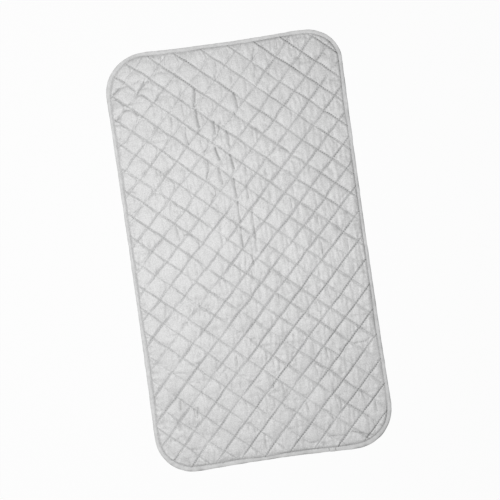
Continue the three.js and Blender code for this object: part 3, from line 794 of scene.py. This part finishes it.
def carry(profile, proud):
    """Section carried round the edge: inset measured against the outward direction, height as it is, with
    the tape's small puckers in both and the lap standing proud by its thickness."""
    inset_here, height_here = profile.T
    wander = tape_reach(*edge.T)[:, None] - TAPE_INSET
    bulge = 0.18 * pucker_in[:, None] * np.clip(4 - inset_here, 0, 4) / 4
    bulge = bulge - wander * np.clip(inset_here / TAPE_INSET, 0, 1)
    depth = inset_here - bulge - proud[:, None] * np.clip(1 - inset_here / 3, 0, 1) * 0.6
    on_top = np.clip((height_here - 1) / 2.5, 0, 1)
    height = height_here + (0.14 * pucker_up[:, None] + proud[:, None]) * on_top
    place = edge[:, None] - outward[:, None] * depth[..., None]
    return np.concatenate([place, height[..., None]], -1)


outer, inner = carry(SECTION, lap), carry(lining, np.minimum(lap, 0))
tube = np.concatenate([outer, inner[:, ::-1]], axis=1)
count, ring = tube.shape[:2]
corner = np.arange(count * ring).reshape(count, ring)
after, beside = np.roll(corner, -1, axis=0), np.roll(corner, -1, axis=1)
tube_faces = np.stack([corner, beside, np.roll(after, -1, axis=1), after], -1).reshape(-1, 4)
binding = new_piece("edge_binding_tape", tube.reshape(-1, 3), tube_faces)
girth = np.concatenate([[0], np.cumsum(np.linalg.norm(np.diff(SECTION, axis=0), axis=1))])
girth = np.concatenate([girth, girth[::-1]])
map_surface(binding, "tape", np.repeat(stations, ring), np.tile(girth, count))

# Painted shade along the fold, most at the front and right, which face away from the light, and in the
# notches where the lap's ends are sewn down
fold_shade = np.clip(0.25 - 0.5 * outward[:, 1] + 0.35 * outward[:, 0], 0.1, 1)
fold_shade *= np.clip(0.8 + 0.5 * soft_noise(53, *edge.T, 9, 9), 0.1, 1.6)
on_fold = np.exp(-((np.concatenate([SECTION[:, 0], lining[::-1, 0]]) / 1.9) ** 2))
mark_surface(binding, "painted_tape_shade", np.maximum(0.6 * notch[:, None], fold_shade[:, None] * (0.12 + 0.45 * on_fold)))

# Woven polyester tape: close ribs across it 0.8 mm apart, drawn at 1.6 mm, and a low sheen. Shade is painted
# dark on its fold and at the lap's ends.
tape = new_material("woven polyester binding tape")
run = node(tape, "UVMap", uv_map="tape")
rib = node(tape, "TexWave", {"Vector": run, "Scale": wave_scale(1.6), "Distortion": 0.8, "Detail": 2.0},
           bands_direction="X")
selvedge = node(tape, "TexWave", {"Vector": run, "Scale": wave_scale(1.1), "Distortion": 0.4},
                bands_direction="Y")
weave = node(tape, "Math", {0: rib.outputs["Fac"], 1: selvedge.outputs["Fac"]}, operation="MULTIPLY")
wear = node(tape, "TexNoise", {"Vector": run, "Scale": 1 / 9.0, "Detail": 4.0})
tone = node(tape, "Math", {0: weave, 1: 0.3, 2: wear}, operation="MULTIPLY_ADD")
colour = node(tape, "ValToRGB", {"Fac": tone}, stops=((0.3, "#cfcfcf"), (0.9, "#eaeaea")))
tape_shade = node(tape, "Attribute", attribute_name="painted_tape_shade")
# the painted shade darkens the tape's colour towards this grey
colour = node(tape, "Mix", {"Factor": tape_shade.outputs["Fac"], 6: colour, 7: linear("#606060")}, data_type="RGBA")
relief = node(tape, "Bump", {"Height": weave, "Strength": 0.4, "Distance": 0.2 * MM})
shade = node(tape, "BsdfPrincipled", {"Base Color": colour.outputs[2], "Roughness": 0.65,
                                      "Specular IOR Level": 0.35, "Sheen Weight": 0.1, "Normal": relief})
node(tape, "OutputMaterial", {"Surface": shade})
binding.data.materials.append(tape)
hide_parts("edge_binding")
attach(binding, "root")

# Binding seam threads
# One row of lockstitch, 2.9 mm long, just inside the tape's inner edge all round, through both sides of the
# tape and the layers between them.

SEAM_STITCH = 2.9
SEAM_INSET = 6.4  # where the tape reaches as far as TAPE_INSET

knots = np.linspace(0, edge_round, int(edge_round / SEAM_STITCH) + 1)
place, out = edge_path(knots)
seam_inset = SEAM_INSET / TAPE_INSET * tape_reach(*place.T)[:, None]
for name, height, up in (("binding_seam_needle_thread", 2.75, 1), ("binding_seam_bobbin_thread", 0.62, -1)):
    line = np.concatenate([place - out * seam_inset, np.full((len(knots), 1), height)], -1)
    seam = stitch_mesh(name, line[:-1], line[1:], up)
    seam.data.materials.append(thread)
    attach(seam, "root")

# Studio
# A white floor, one large soft light on the left and an even white surround, seen from straight above.

FLOOR_REACH = 40000.0
floor_corners = FLOOR_REACH * np.array([(-1, -1, 0), (1, -1, 0), (1, 1, 0), (-1, 1, 0)])
floor = new_piece("floor", floor_corners, np.array([(0, 1, 2, 3)]))

# Matt white paper, which the camera and reflections see nearly pure white while it still takes the shadow.
paper = new_material("white studio paper")
ray = node(paper, "LightPath").outputs
seen = node(paper, "Math", {0: ray["Is Camera Ray"], 1: ray["Is Glossy Ray"]}, operation="MAXIMUM")
seen = node(paper, "Math", {0: seen, 1: ray["Is Transmission Ray"]}, operation="MAXIMUM")
share = node(paper, "Math", {0: seen, 1: 0.92}, operation="MULTIPLY")
lit = node(paper, "BsdfDiffuse", {"Color": linear("#f6f6f6")})
white = node(paper, "Emission", {"Color": linear("#fefefe"), "Strength": 1.0})
both = node(paper, "MixShader", {0: share, 1: lit, 2: white})
node(paper, "OutputMaterial", {"Surface": both})
floor.data.materials.append(paper)

world = bpy.data.worlds.new("white surround")
world.use_nodes = True
world.node_tree.nodes["Background"].inputs["Color"].default_value = (1, 1, 1, 1)
world.node_tree.nodes["Background"].inputs["Strength"].default_value = 0.3
bpy.context.scene.world = world

softbox_light = bpy.data.lights.new("left softbox", "AREA")
softbox_light.shape = "RECTANGLE"
softbox_light.size = 0.45
softbox_light.size_y = 0.88
softbox_light.energy = 37.8
softbox = bpy.data.objects.new("left softbox", softbox_light)
softbox.location = (-0.45, 0.1, 2.4)
softbox.rotation_euler = (Vector((0, 0, 0)) - softbox.location).to_track_quat("-Z", "Y").to_euler()
bpy.context.scene.collection.objects.link(softbox)

TURN = np.radians(-8.1)  # the pad lies turned in the photograph
CAMERA_RIGHT = 0.00265  # from the pad's middle, as the picture lies
CAMERA_UP = 0.00115
CAMERA_HEIGHT = 2.3873
lens = bpy.data.cameras.new("camera")
lens.lens = 85
lens.sensor_width = 36
camera = bpy.data.objects.new("camera", lens)
picture_right = np.array((np.cos(TURN), np.sin(TURN)))
picture_up = np.array((-np.sin(TURN), np.cos(TURN)))
camera.location = (*(picture_right * CAMERA_RIGHT + picture_up * CAMERA_UP), CAMERA_HEIGHT)
camera.rotation_euler = (0, 0, TURN)
bpy.context.scene.collection.objects.link(camera)
bpy.context.scene.camera = camera
bpy.context.scene.view_settings.view_transform = "Standard"
